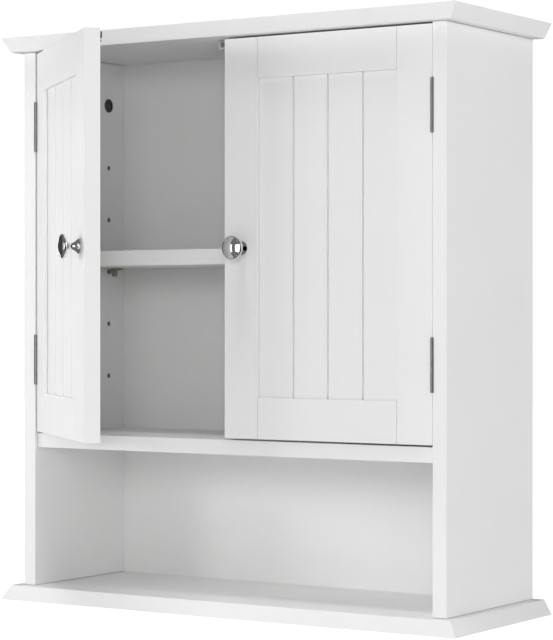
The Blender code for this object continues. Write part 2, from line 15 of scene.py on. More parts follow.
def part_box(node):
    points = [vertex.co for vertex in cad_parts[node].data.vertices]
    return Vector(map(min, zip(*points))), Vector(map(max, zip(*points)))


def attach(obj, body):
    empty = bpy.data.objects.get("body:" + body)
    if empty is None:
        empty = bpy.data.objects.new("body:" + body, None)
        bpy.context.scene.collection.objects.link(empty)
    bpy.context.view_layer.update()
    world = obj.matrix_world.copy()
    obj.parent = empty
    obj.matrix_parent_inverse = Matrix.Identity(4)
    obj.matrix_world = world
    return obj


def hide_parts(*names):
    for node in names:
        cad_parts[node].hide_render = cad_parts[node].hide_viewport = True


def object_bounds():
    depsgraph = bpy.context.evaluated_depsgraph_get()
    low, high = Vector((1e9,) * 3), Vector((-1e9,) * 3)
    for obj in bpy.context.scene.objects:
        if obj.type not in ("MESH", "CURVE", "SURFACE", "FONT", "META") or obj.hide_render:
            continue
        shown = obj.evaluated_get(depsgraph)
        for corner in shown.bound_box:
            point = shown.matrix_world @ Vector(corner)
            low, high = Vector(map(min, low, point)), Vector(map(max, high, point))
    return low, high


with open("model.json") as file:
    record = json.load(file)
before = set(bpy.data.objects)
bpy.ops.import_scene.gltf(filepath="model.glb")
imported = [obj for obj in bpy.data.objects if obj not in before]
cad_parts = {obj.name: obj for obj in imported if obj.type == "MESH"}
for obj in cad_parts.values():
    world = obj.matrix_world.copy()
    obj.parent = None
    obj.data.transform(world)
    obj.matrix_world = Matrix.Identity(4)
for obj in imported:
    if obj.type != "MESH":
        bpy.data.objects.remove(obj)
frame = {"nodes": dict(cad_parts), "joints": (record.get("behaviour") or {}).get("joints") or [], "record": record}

CAD_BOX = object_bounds()
JOINTS = {joint["name"]: joint for joint in frame["joints"]}
NODE_SLOTS = {part["node"]: part["material_slot"] for part in frame["record"]["subparts"]}
HANDS = ("left", "right")
ROWS = ("front", "rear")      # of shelf pins, crown cams and base screws
LEVELS = ("lower", "upper")   # of a door's hinges

# ---- sizes that a part's box doesn't give, in metres ----
SLOPE_SIDE = 0.0085           # crown and base edges lean out by this, left and right
SLOPE_FRONT = 0.007           # the same in front
FIT = 0.0003                  # room round a piece that is let into a board
BOARD_EDGE = 0.0007           # softened edges of the carcass boards
DOOR_EDGE = 0.0006            # softened edges of the door's boards
BACK_EDGE = 0.0003            # and of the thin back
OVERCUT = 0.001               # how far a tool runs past the face it cuts

CAM_CHAMFER = 0.0004
CAM_RING_DEPTH = 0.0007
CAM_DIMPLE = 0.0025           # middle of a cam to each of its driver holes
CAM_DIMPLE_RADIUS = 0.0012
CAM_DIMPLE_DEPTH = 0.003

PIN_PITCH = 0.057             # shelf-pin holes, from one to the next
PIN_DROP = 0.0038             # a shelf pin's ledge to the middle of its plug
PIN_HOLE = 0.0027
PIN_HOLE_DEPTH = 0.0085
PIN_HOLE_STEPS = range(-2, 3)  # of a column's holes, counted from the one with the pin
PIN_LEDGE = 0.0038            # thickness of a pin's ledge at its root
PIN_TAPER = 0.0026            # how much thinner it is at its tip
PIN_CORNER = 0.0024
PIN_ROOT = 0.0045             # panel's face to the root of the plug
PIN_STEM = 0.0112             # panel's face to the far side of the stem
PIN_EDGE = 0.00035

BEAD_TONGUE = 0.008           # beadboard hidden in the stiles and rails
BEAD_GROOVES = 3
BEAD_GROOVE_WIDTH = 0.0021
BEAD_GROOVE_DEPTH = 0.0040
RAIL_TONGUE = 0.006           # thickness of the rails' tongues

KNUCKLES = 5
BARREL_RADIUS = 0.0016
BORE_RADIUS = 0.0008
LEAF_THICKNESS = 0.0009
LEAF_GAP = 0.00015            # a leaf's face to the plane of the hinge line
KNUCKLE_GAP = 0.0001          # room at each end of a knuckle
HINGE_SCREW_RISE = 0.0172     # middle screw of a leaf to the other two
HINGE_SCREW_DEPTH = 0.0086    # hinge line to the leaf's screws
SCREW_HEAD = 0.0024
SCREW_SHANK = 0.0011
SMALL_HEAD = 0.0022
SMALL_SHANK = 0.0012

KEYHOLE_HEAD = 0.0045         # radius of a keyhole's round part
KEYHOLE_SLOT = 0.0023         # half the width of its slot
KEYHOLE_RISE = 0.009          # round part's middle to the slot's upper end
KEYHOLE_SCREW_RISES = (-0.0155, 0.0165)

KNOB_HEAD = 0.0120            # radius of a knob's head
RIM = 0.0028                  # radius of the bead round it
RIM_MIDDLE = 0.0165           # door's face to the middle of the bead
RIM_STEPS = 18
DOME_STEPS = 16
KNOB_BOLT_SHANK = 0.0018
KNOB_BOLT_BORE = 0.0026
KNOB_BORE_DEPTH = 0.02


# ---- handling ----
def only(piece):
    """Select one object and nothing else."""
    if bpy.context.object and bpy.context.object.mode != "OBJECT":
        bpy.ops.object.mode_set(mode="OBJECT")
    bpy.ops.object.select_all(action="DESELECT")
    piece.select_set(True)
    bpy.context.view_layer.objects.active = piece


def settle(piece):
    """Put a piece's place, turn and size into its mesh."""
    only(piece)
    bpy.ops.object.transform_apply(location=True, rotation=True, scale=True)
    return piece


def named(name):
    """The object that an operator has just made, under its own name and settled."""
    piece = bpy.context.object
    piece.name = name
    return settle(piece)


def fresh():
    bpy.ops.object.select_all(action="DESELECT")


def block(name, low, high):
    """A rectangular block between two corners."""
    low, high = Vector(low), Vector(high)
    fresh()
    bpy.ops.mesh.primitive_cube_add(size=1, location=(low + high) / 2, scale=high - low)
    return named(name)


def bar(name, start, end, radius, end_radius=None, sides=32):
    """A round bar or a cone between two points."""
    start, end = Vector(start), Vector(end)
    along = end - start
    fresh()
    bpy.ops.mesh.primitive_cone_add(
        vertices=sides, radius1=radius, radius2=end_radius or radius, depth=along.length,
        location=(start + end) / 2, rotation=along.to_track_quat("Z", "Y").to_euler())
    return named(name)


def turned(name, profile, origin, direction, sides=32):
    """A turned piece: profile holds (radius, distance along direction) from one end to the other."""
    radius, along = profile[0]
    fresh()
    bpy.ops.mesh.primitive_circle_add(vertices=sides, radius=radius, fill_type="NGON",
                                      location=(0, 0, along))
    piece = named(name)
    bpy.ops.object.mode_set(mode="EDIT")
    bpy.ops.mesh.select_all(action="SELECT")
    for (radius, along), (next_radius, next_along) in zip(profile, profile[1:]):
        bpy.ops.mesh.extrude_region_move(TRANSFORM_OT_translate={"value": (0, 0, next_along - along)})
        ratio = next_radius / radius
        bpy.ops.transform.resize(value=(ratio, ratio, 1), center_override=(0, 0, next_along))
    bpy.ops.object.mode_set(mode="OBJECT")
    tidy_normals(piece)
    place = Matrix.Translation(origin) @ Vector(direction).to_track_quat("Z", "Y").to_matrix().to_4x4()
    piece.matrix_world = place
    return settle(piece)


def tidy_normals(piece):
    only(piece)
    bpy.ops.object.mode_set(mode="EDIT")
    bpy.ops.mesh.select_all(action="SELECT")
    bpy.ops.mesh.normals_make_consistent(inside=False)
    bpy.ops.object.mode_set(mode="OBJECT")


def pick(piece, kind, test):
    """Select in edit mode only the verts, edges or faces whose middle and direction pass a test."""
    only(piece)
    bpy.ops.object.mode_set(mode="EDIT")
    bpy.ops.mesh.select_mode(type=kind)
    bpy.ops.mesh.select_all(action="DESELECT")
    bm = bmesh.from_edit_mesh(piece.data)
    if kind == "VERT":
        for vert in bm.verts:
            vert.select_set(test(vert.co, vert.normal))
    elif kind == "EDGE":
        for edge in bm.edges:
            first, second = (vert.co for vert in edge.verts)
            edge.select_set(test((first + second) / 2, (second - first).normalized()))
    else:
        for face in bm.faces:
            face.select_set(test(face.calc_center_median(), face.normal))
    bm.select_flush_mode()
    bmesh.update_edit_mesh(piece.data)


def round_edges(piece, radius, test, segments=4):
    """Round the edges whose middle and direction pass the test."""
    pick(piece, "EDGE", test)
    bpy.ops.mesh.bevel(offset=radius, offset_type="OFFSET", segments=segments, profile=0.5,
                       affect="EDGES")
    bpy.ops.object.mode_set(mode="OBJECT")
    return piece


def modify(piece, kind, **settings):
    """Add a modifier and apply it."""
    only(piece)
    modifier = piece.modifiers.new(kind.title(), kind)
    for setting, value in settings.items():
        setattr(modifier, setting, value)
    bpy.ops.object.modifier_apply(modifier=modifier.name)
    return piece


def soften(piece, width, segments=3, angle=30):
    return modify(piece, "BEVEL", width=width, segments=segments, limit_method="ANGLE",
                  angle_limit=math.radians(angle), use_clamp_overlap=True)


def cut(piece, *tools):
    """Take the tools' shapes out of a piece. The cut faces take the tools' material."""
    for tool in tools:
        modify(piece, "BOOLEAN", object=tool, operation="DIFFERENCE", solver="EXACT",
               material_mode="TRANSFER")
        bpy.data.objects.remove(tool)
    return piece


def weld(piece, *others):
    for other in others:
        modify(piece, "BOOLEAN", object=other, operation="UNION", solver="EXACT")
        bpy.data.objects.remove(other)
    return piece


def copied(piece, name):
    """A copy with its own mesh."""
    only(piece)
    bpy.ops.object.duplicate(linked=False)
    copy = bpy.context.object
    copy.name = name
    return copy


def shifted(piece, name, offset):
    copy = copied(piece, name)
    copy.location = offset
    return settle(copy)


def mirrored(piece, name):
    """The left-hand copy of a right-hand piece."""
    copy = copied(piece, name)
    copy.scale = (-1, 1, 1)
    settle(copy)
    tidy_normals(copy)
    return copy


def swung_open(piece):
    """Turn a closed left-door piece about its hinge line to where the door stands."""
    joint = JOINTS["left_door_hinge"]
    line = Matrix.Translation(joint["pos_m"])
    turn = Matrix.Rotation(-math.radians(joint["range_deg"][0]), 4, joint["axis"])
    piece.matrix_world = line @ turn @ line.inverted()
    return settle(piece)


def install(piece, body, slot, *nodes):
    """Finish a piece's surface, fix it to its body and let it stand for its nodes."""
    only(piece)
    bpy.ops.object.shade_smooth_by_angle(angle=math.radians(40))
    modify(piece, "WEIGHTED_NORMAL", keep_sharp=True, weight=80)
    if not any(piece.data.materials):
        piece.data.materials.clear()
        piece.data.materials.append(FINISHES[slot])
    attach(piece, body)
    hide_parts(*nodes)


def install_pair(piece, slot, *stems, on_door=False):
    """Install a right-hand piece and its left-hand copy; stems are the nodes' names without the hand."""
    left = mirrored(piece, piece.name.replace("right_", "left_"))
    if on_door:
        swung_open(left)
    for hand, item in (("right", piece), ("left", left)):
        body = f"{hand}_door" if on_door else "cabinet"
        install(item, body, slot, *(f"{hand}_{stem}" for stem in stems))


def middle(node_name):
    low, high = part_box(node_name)
    return (low + high) / 2


def room_for(node_name):
    """A block that clears a part's box by a little."""
    low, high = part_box(node_name)
    margin = Vector((FIT, FIT, FIT))
    return block("room", low - margin, high + margin)


def hinge_mortises(place, facing):
    """Tools for the leaf and the barrel of a right-hand hinge; facing is +1 for the side panel."""
    low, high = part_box(f"right_{place}_hinge_fixed_leaf")
    line = Vector(JOINTS["right_door_hinge"]["pos_m"])
    tools = []
    for width, start, end in ((LEAF_GAP + LEAF_THICKNESS, line.y, high.y),
                              (BARREL_RADIUS, low.y - OVERCUT, line.y + BARREL_RADIUS)):
        sides = sorted((line.x, line.x + facing * (width + FIT)))
        tools.append(block("mortise", (sides[0], start, low.z - FIT),
                           (sides[1], end + FIT, high.z + FIT)))
    return tools


def bore_for(node_name, axis, mouth=FIT, sides=32):
    """A tool that clears a round part lying along an axis; mouth is the room at its low end."""
    low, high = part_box(node_name)
    start = (low + high) / 2
    end = start.copy()
    start[axis] = low[axis] - mouth
    end[axis] = high[axis] + FIT
    across = (axis + 1) % 3
    return bar("bore", start, end, (high[across] - low[across]) / 2 + FIT, sides=sides)


# ---- material groups ----
def make_group(name, inputs, outputs):
    """An empty shader node group with its own inputs (name, kind, default) and outputs (name, kind)."""
    group = bpy.data.node_groups.new(name, "ShaderNodeTree")
    for label, kind, default in inputs:
        socket = group.interface.new_socket(label, in_out="INPUT", socket_type=f"NodeSocket{kind}")
        socket.default_value = default
    for label, kind in outputs:
        group.interface.new_socket(label, in_out="OUTPUT", socket_type=f"NodeSocket{kind}")
    entry = group.nodes.new("NodeGroupInput")
    leave = group.nodes.new("NodeGroupOutput")
    return group, entry, leave


def node(tree, kind, **settings):
    made = tree.nodes.new(f"ShaderNode{kind}")
    for setting, value in settings.items():
        setattr(made, setting, value)
    return made


def noise(tree, where, scale, detail, roughness=0.5):
    """A noise texture on object coordinates; scale is a socket or a number."""
    texture = node(tree, "TexNoise")
    tree.links.new(where, texture.inputs["Vector"])
    if isinstance(scale, (int, float)):
        texture.inputs["Scale"].default_value = scale
    else:
        tree.links.new(scale, texture.inputs["Scale"])
    texture.inputs["Detail"].default_value = detail
    texture.inputs["Roughness"].default_value = roughness
    return texture.outputs["Fac"]


def spread(tree, value, low, high, out_low=0.0, out_high=1.0):
    """Stretch part of a value's range over another range; each bound is a socket or a number."""
    stretch = node(tree, "MapRange", clamp=True)
    tree.links.new(value, stretch.inputs["Value"])
    for label, bound in (("From Min", low), ("From Max", high),
                         ("To Min", out_low), ("To Max", out_high)):
        if isinstance(bound, (int, float)):
            stretch.inputs[label].default_value = bound
        else:
            tree.links.new(bound, stretch.inputs[label])
    return stretch.outputs["Result"]


def mixed(tree, factor, first, second):
    mix = node(tree, "Mix", data_type="RGBA")
    tree.links.new(factor, mix.inputs["Factor"])
    tree.links.new(first, mix.inputs["A"])
    tree.links.new(second, mix.inputs["B"])
    return mix.outputs["Result"]


def make_mottle_group():
    """Two close colours drifting into each other in broad clouds with a finer fleck."""
    group, entry, leave = make_group(
        "Mottle", (("Light", "Color", (1, 1, 1, 1)), ("Dark", "Color", (0.9, 0.9, 0.9, 1)),
                   ("Scale", "Float", 10), ("Fleck", "Float", 0.3)),
        (("Color", "Color"), ("Mask", "Float")))
    where = node(group, "TexCoord").outputs["Object"]
    broad = noise(group, where, entry.outputs["Scale"], 3)
    finer = node(group, "Math", operation="MULTIPLY")
    finer.inputs[1].default_value = 9
    group.links.new(entry.outputs["Scale"], finer.inputs[0])
    fine = noise(group, where, finer.outputs["Value"], 4, 0.7)
    blend = node(group, "Mix", data_type="FLOAT")
    group.links.new(entry.outputs["Fleck"], blend.inputs["Factor"])
    group.links.new(broad, blend.inputs["A"])
    group.links.new(fine, blend.inputs["B"])
    mask = spread(group, blend.outputs["Result"], 0.3, 0.7)
    group.links.new(mixed(group, mask, entry.outputs["Light"], entry.outputs["Dark"]),
                    leave.inputs["Color"])
    group.links.new(mask, leave.inputs["Mask"])
    return group


def make_ripple_group():
    """The fine unevenness of a sprayed or plated skin, as a normal."""
    group, entry, leave = make_group(
        "Ripple", (("Scale", "Float", 600), ("Depth", "Float", 0.00001), ("Strength", "Float", 0.2)),
        (("Normal", "Vector"),))
    where = node(group, "TexCoord").outputs["Object"]
    height = noise(group, where, entry.outputs["Scale"], 2)
    bump = node(group, "Bump")
    group.links.new(height, bump.inputs["Height"])
    group.links.new(entry.outputs["Depth"], bump.inputs["Distance"])
    group.links.new(entry.outputs["Strength"], bump.inputs["Strength"])
    group.links.new(bump.outputs["Normal"], leave.inputs["Normal"])
    return group


def make_sheen_group():
    """Roughness that wanders between two values, as wiping and handling leave it."""
    group, entry, leave = make_group(
        "Handled sheen", (("Smooth", "Float", 0.3), ("Rough", "Float", 0.5), ("Scale", "Float", 20),
                          ("Stretch", "Vector", (1, 1, 1))), (("Roughness", "Float"),))
    place = node(group, "Mapping")
    group.links.new(node(group, "TexCoord").outputs["Object"], place.inputs["Vector"])
    group.links.new(entry.outputs["Stretch"], place.inputs["Scale"])
    drift = noise(group, place.outputs["Vector"], entry.outputs["Scale"], 5, 0.6)
    group.links.new(spread(group, drift, 0.35, 0.65, entry.outputs["Smooth"], entry.outputs["Rough"]),
                    leave.inputs["Roughness"])
    return group


GROUPS = {"mottle": make_mottle_group(), "ripple": make_ripple_group(), "sheen": make_sheen_group()}


def placed_group(tree, name, **values):
    """Put a group in a material with its own values."""
    made = node(tree, "Group", node_tree=GROUPS[name])
    for label, value in values.items():
        made.inputs[label].default_value = value
    return made


def start_material(name):
    material = bpy.data.materials.new(name)
    material.use_nodes = True
    return material, material.node_tree, material.node_tree.nodes["Principled BSDF"]


def finish(name, light, dark, mottle, sheen, ripple, **uniform):
    """A material from the three groups; uniform values go straight to the shader's sockets.

    mottle is (scale, fleck), sheen is (smooth, rough, scale, stretch), ripple is (scale, depth, strength).
    """
    material, tree, shader = start_material(name)
    scale, fleck = mottle
    colour = placed_group(tree, "mottle", Light=(*light, 1), Dark=(*dark, 1), Scale=scale, Fleck=fleck)
    smooth, rough, scale, stretch = sheen
    gloss = placed_group(tree, "sheen", Smooth=smooth, Rough=rough, Scale=scale, Stretch=stretch)
    scale, depth, strength = ripple
    skin = placed_group(tree, "ripple", Scale=scale, Depth=depth, Strength=strength)
    tree.links.new(colour.outputs["Color"], shader.inputs["Base Color"])
    tree.links.new(gloss.outputs["Roughness"], shader.inputs["Roughness"])
    tree.links.new(skin.outputs["Normal"], shader.inputs["Normal"])
    for label, value in uniform.items():
        shader.inputs[label.replace("_", " ")].default_value = value
    return material


EVEN = (1, 1, 1)
FINISHES = {
    "white_paint": finish("satin white paint", (0.90, 0.90, 0.898), (0.875, 0.875, 0.872), (6, 0.35),
                          (0.36, 0.46, 14, EVEN), (900, 0.00002, 0.25)),
    "bare_board": finish("bare fibreboard", (0.50, 0.37, 0.25), (0.36, 0.25, 0.16), (60, 0.7),
                         (0.75, 0.95, 60, EVEN), (2500, 0.0001, 0.5)),
    # White plastic coloured pale grey, with the shade under the crown painted into it
    "white_plastic": finish("moulded white plastic", (0.55, 0.55, 0.54), (0.52, 0.52, 0.51), (40, 0.3),
                            (0.30, 0.42, 80, EVEN), (1800, 0.00003, 0.25)),
    "chrome": finish("polished chrome", (0.85, 0.85, 0.86), (0.80, 0.80, 0.81), (90, 0.4),
                     (0.03, 0.07, 120, EVEN), (700, 0.000004, 0.1), Metallic=1.0),
    "nickel": finish("satin nickel plate", (0.40, 0.40, 0.39), (0.31, 0.31, 0.30), (150, 0.5),
                     (0.20, 0.34, 220, (1, 1, 0.08)), (1500, 0.00001, 0.25), Metallic=1.0),
    "dull_nickel": finish("dull nickel plate", (0.42, 0.40, 0.31), (0.28, 0.27, 0.20), (220, 0.6),
                          (0.30, 0.48, 260, EVEN), (1700, 0.00004, 0.4), Metallic=1.0),
    "dark_steel": finish("blackened steel", (0.12, 0.12, 0.122), (0.07, 0.07, 0.072), (240, 0.6),
                         (0.32, 0.5, 300, EVEN), (2200, 0.00004, 0.4), Metallic=1.0),
    "zinc": finish("cast zinc", (0.46, 0.46, 0.455), (0.30, 0.30, 0.30), (260, 0.6),
                   (0.34, 0.55, 320, EVEN), (1900, 0.00006, 0.5), Metallic=1.0),
}


# ---- fastenings ----
def cross_recess(origin, direction, size, depth):
    """A tool for the cross that a driver fits, in a screw's head."""
    place = Matrix.Translation(origin) @ Vector(direction).to_track_quat("Z", "Y").to_matrix().to_4x4()
    arms = []
    for turn in (0, math.pi / 2):
        arm = block("cross arm", (-size / 2, -size / 9, -depth), (size / 2, size / 9, depth))
        arm.matrix_world = place @ Matrix.Rotation(turn, 4, "Z")
        arms.append(settle(arm))
    return weld(*arms)


def flat_screw(name, origin, outward, head=SCREW_HEAD, shank=SCREW_SHANK, length=0.011):
    """A countersunk screw whose head lies flush at origin, facing outward."""
    profile = [(head * 0.9, 0), (head, -0.00012), (head, -0.0003), (shank, -0.0003 - (head - shank)),
               (shank, -length * 0.8), (shank * 0.25, -length)]
    screw = turned(name, profile, origin, outward, 24)
    return cut(screw, cross_recess(origin, outward, head * 1.25, head * 0.42))


def sink(origin, outward, head, shank, depth):
    """A tool for a countersunk hole."""
    origin, outward = Vector(origin), Vector(outward)
    cone = bar("sink", origin + outward * 0.0002, origin - outward * (head - shank + 0.0003),
               head + 0.0003, shank + 0.0002, 24)
    hole = bar("shank hole", origin, origin - outward * depth, shank + 0.0002, sides=24)
    return weld(cone, hole)


# ---- carcass ----
def along_z(spot, direction):
    return abs(direction.z) > 0.9


def make_edge_board(name, node_name, wide_up):
    """Crown or base: a board whose front and side edges lean out towards its wide face."""
    low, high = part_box(node_name)
    board = block(name, (low.x + SLOPE_SIDE, low.y + SLOPE_FRONT, low.z),
                  (high.x - SLOPE_SIDE, high.y, high.z))
    facing = 1 if wide_up else -1
    pick(board, "FACE", lambda spot, normal: normal.z * facing > 0.9)
    wide = high.z if wide_up else low.z
    growth = (high.x / (high.x - SLOPE_SIDE), low.y / (low.y + SLOPE_FRONT), 1)
    bpy.ops.transform.resize(value=growth, center_override=(0, 0, wide))
    bpy.ops.object.mode_set(mode="OBJECT")
    soften(board, BOARD_EDGE, 4)
    return board


def make_side_panels():
    """Side panels, with bare board inside the pin holes, cam holes and hinge mortises."""
    low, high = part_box("right_side_panel")
    side = soften(block("right_side_board", low, high), BOARD_EDGE)
    seen = []
    for row in ROWS:
        pin_low, pin_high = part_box(f"right_{row}_shelf_pin")
        for step in PIN_HOLE_STEPS:
            y = (pin_low.y + pin_high.y) / 2
            z = pin_high.z - PIN_DROP + step * PIN_PITCH
            seen.append(bar("pin hole", (low.x - OVERCUT, y, z), (low.x + PIN_HOLE_DEPTH, y, z), PIN_HOLE))
        seen.append(bore_for(f"right_{row}_crown_cam", 0, OVERCUT, 48))
    for level in LEVELS:
        seen += hinge_mortises(level, 1)
    for tool in seen:
        tool.data.materials.append(FINISHES["bare_board"])
    side.data.materials.append(FINISHES["white_paint"])
    cut(side, *seen)
    cut(side, room_for("back_panel"), bore_for("right_shelf_bolt", 0))
    for row in ROWS:
        cut(side, bore_for(f"right_{row}_crown_bolt", 2), bore_for(f"right_{row}_base_screw", 2))
    install_pair(side, "white_paint", "side_panel")


def make_crown_base_and_fixed_shelf():
    """The boards that are bored for what joins them to the side panels."""
    crown = make_edge_board("crown_board", "crown_panel", True)
    base = make_edge_board("base_board", "base_panel", False)
    fixed = soften(block("fixed_shelf_board", *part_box("fixed_shelf")), BOARD_EDGE)
    for hand in HANDS:
        for row in ROWS:
            cut(crown, bore_for(f"{hand}_{row}_crown_bolt", 2))
            cut(base, bore_for(f"{hand}_{row}_base_screw", 2))
        cut(fixed, bore_for(f"{hand}_shelf_cam", 2, OVERCUT, 48), bore_for(f"{hand}_shelf_bolt", 0))
    for board in (crown, base):
        cut(board, room_for("back_panel"))
    install(crown, "cabinet", "white_paint", "crown_panel")
    install(base, "cabinet", "white_paint", "base_panel")
    install(fixed, "cabinet", "white_paint", "fixed_shelf")


def make_loose_shelf_and_back():
    loose = soften(block("loose_shelf_board", *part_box("adjustable_shelf")), BOARD_EDGE)
    install(loose, "shelf", "white_paint", "adjustable_shelf")

    back = soften(block("back_board", *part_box("back_panel")), BACK_EDGE, 2)
    back.data.materials.append(FINISHES["white_paint"])
    back.data.materials.append(FINISHES["bare_board"])
    for face in back.data.polygons:
        face.material_index = int(face.normal.y > 0.5)
    install(back, "cabinet", "white_paint", "back_panel")

    rail = soften(block("hanging_rail_board", *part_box("hanging_rail")), BOARD_EDGE)
    install(rail, "cabinet", "bare_board", "hanging_rail")


def make_cam(name, node_name, axis):
    """A cam nut that faces down an axis, with a ring sunk inside its rim and two driver holes."""
    low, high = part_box(node_name)
    face = (low + high) / 2
    face[axis] = low[axis]
    direction = Vector((0, 0, 0))
    direction[axis] = 1
    radius = (high[(axis + 1) % 3] - low[(axis + 1) % 3]) / 2
    length = high[axis] - low[axis]
    cam = turned(name, [(radius * 0.80, CAM_CHAMFER), (radius * 0.86, 0), (radius * 0.96, 0),
                        (radius, CAM_CHAMFER), (radius, length - CAM_CHAMFER), (radius * 0.95, length)],
                 face, direction, 48)
    across = direction.cross(Vector((0, 1, 0)))
    before = face - direction * OVERCUT
    for rise in (-CAM_DIMPLE, CAM_DIMPLE):
        cut(cam, bar("dimple", before + across * rise,
                     face + across * rise + direction * CAM_DIMPLE_DEPTH, CAM_DIMPLE_RADIUS, sides=24))
    ring = bar("ring", before, face + direction * CAM_RING_DEPTH, radius * 0.84, sides=48)
    core = bar("ring core", before - direction * OVERCUT, face + direction * 2 * OVERCUT, radius * 0.72,
               sides=48)
    return cut(cam, cut(ring, core))


def make_fastenings():
    """Cams, and the screws up through the base."""
    for row in ROWS:
        cam = make_cam(f"right_{row}_cam", f"right_{row}_crown_cam", 0)
        install_pair(cam, "dark_steel", f"{row}_crown_cam")
        low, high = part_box(f"right_{row}_base_screw")
        origin = ((low.x + high.x) / 2, (low.y + high.y) / 2, low.z)
        screw = flat_screw(f"right_{row}_foot_screw", origin, (0, 0, -1), (high.x - low.x) / 2, 0.0026,
                           high.z - low.z)
        install_pair(screw, "zinc", f"{row}_base_screw")
    install_pair(make_cam("right_underside_cam", "right_shelf_cam", 2), "dark_steel", "shelf_cam")


# ---- shelf pins ----
def make_shelf_pins():
    """Spade pins: a plug in the panel, a block and a tapering ledge with round corners."""
    low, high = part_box("right_front_shelf_pin")
    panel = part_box("right_side_panel")[0].x
    root = panel - PIN_ROOT
    stem_side = panel - PIN_STEM
    ledge = block("right_front_spade_pin", (low.x, low.y, high.z - PIN_LEDGE), (root, high.y, high.z))
    pick(ledge, "VERT", lambda spot, normal: spot.x < low.x + 0.001 and spot.z < high.z - 0.003)
    bpy.ops.transform.translate(value=(0, 0, PIN_TAPER))
    bpy.ops.object.mode_set(mode="OBJECT")
    round_edges(ledge, PIN_CORNER,
                lambda spot, direction: along_z(spot, direction) and spot.x < low.x + 0.001, 5)
    stem = block("stem", (stem_side, low.y, low.z), (root, high.y, high.z - 0.001))
    for spot_x, drift in ((stem_side, 0.0018), (root, -0.0022)):
        pick(stem, "VERT", lambda spot, normal: spot.z < low.z + 0.001 and abs(spot.x - spot_x) < 0.001)
        bpy.ops.transform.translate(value=(drift, 0, 0))
        bpy.ops.object.mode_set(mode="OBJECT")
    weld(ledge, stem)
    soften(ledge, PIN_EDGE, 2)
    plug_end = high.x - root
    plug = turned("plug", [(0.0009, -0.0008), (0.0009, 0.0036), (0.0020, 0.0038), (0.0023, 0.0040),
                           (0.0023, plug_end - 0.0006), (0.0019, plug_end)],
                  (root, (low.y + high.y) / 2, high.z - PIN_DROP), (1, 0, 0), 32)
    pin = weld(ledge, plug)
    to_rear = middle("right_rear_shelf_pin") - middle("right_front_shelf_pin")
    rear = shifted(pin, "right_rear_spade_pin", to_rear)
    install_pair(pin, "dull_nickel", "front_shelf_pin")
    install_pair(rear, "dull_nickel", "rear_shelf_pin")


# ---- catch and hanging plates ----
def make_catch():
    """A double magnetic catch: a housing with a slotted screw behind each end of the magnet."""
    low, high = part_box("magnetic_catch_body")
    magnet_low, magnet_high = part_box("magnetic_catch_magnet")
    body = block("catch_housing", low, high)
    round_edges(body, 0.002, along_z)
    soften(body, 0.0005, 2)
    room = Vector((FIT, 0, FIT))
    cut(body, block("magnet room", magnet_low - room - Vector((0, 0.002, 0)),
                    magnet_high + room + Vector((0, FIT, 0))))
    for hand, x in (("left", low.x + 0.0085), ("right", high.x - 0.0085)):
        spot = Vector((x, high.y - 0.0032, low.z))
        cut(body, bar("screw room", spot - Vector((0, 0, OVERCUT)), spot + Vector((0, 0, 0.005)), 0.0026),
            bar("screw room", spot, spot + Vector((0, 0, 0.02)), 0.0014))
        screw = flat_screw(f"{hand}_catch_screw", spot + Vector((0, 0, 0.0036)), (0, 0, -1),
                           SMALL_HEAD, SCREW_SHANK, 0.010)
        install(screw, "cabinet", "zinc")
    # the housing's plastic is coloured grey as painted shade from the crown above it
    install(body, "cabinet", "white_plastic", "magnetic_catch_body")

    poles = []
    rise = (magnet_high.z - magnet_low.z) / 4
    for name, start, end in (("catch_magnet", magnet_low.z + rise, magnet_high.z - rise),
                             ("catch_upper_pole", magnet_high.z - rise + 0.00005, magnet_high.z),
                             ("catch_lower_pole", magnet_low.z, magnet_low.z + rise - 0.00005)):
        recess = 0.0004 if name == "catch_magnet" else 0
        strip = block(name, (magnet_low.x, magnet_low.y + recess, start),
                      (magnet_high.x, magnet_high.y, end))
        poles.append(soften(strip, 0.0002, 2))
    install(poles[0], "cabinet", "zinc", "magnetic_catch_magnet")
    for pole in poles[1:]:
        install(pole, "cabinet", "zinc")


def make_keyhole_plates():
    """Plates with round ends, a keyhole and a screw at each end."""
    low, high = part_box("right_hanger_plate")
    centre = (low + high) / 2
    plate = block("right_keyhole_plate", low, high)
    round_edges(plate, (high.x - low.x) / 2 - 0.0005,
                lambda spot, direction: abs(direction.y) > 0.9, 8)
    soften(plate, 0.0003, 2)
    before, behind = low.y - OVERCUT, high.y + OVERCUT
    top = centre.z + KEYHOLE_RISE
    left, right = centre.x - KEYHOLE_SLOT, centre.x + KEYHOLE_SLOT
    cut(plate,
        bar("key head", (centre.x, before, centre.z), (centre.x, behind, centre.z), KEYHOLE_HEAD, sides=48),
        block("key slot", (left, before, centre.z), (right, behind, top)),
        bar("key end", (centre.x, before, top), (centre.x, behind, top), KEYHOLE_SLOT))
    for number, rise in enumerate(KEYHOLE_SCREW_RISES):
        spot = (centre.x, high.y, centre.z + rise)
        cut(plate, sink(spot, (0, 1, 0), SMALL_HEAD, SMALL_SHANK, 0.01))
        screw = flat_screw(f"right_keyhole_screw_{number + 1}", spot, (0, 1, 0), SMALL_HEAD, SMALL_SHANK,
                           0.012)
        install_pair(screw, "zinc")
    install_pair(plate, "zinc", "hanger_plate")


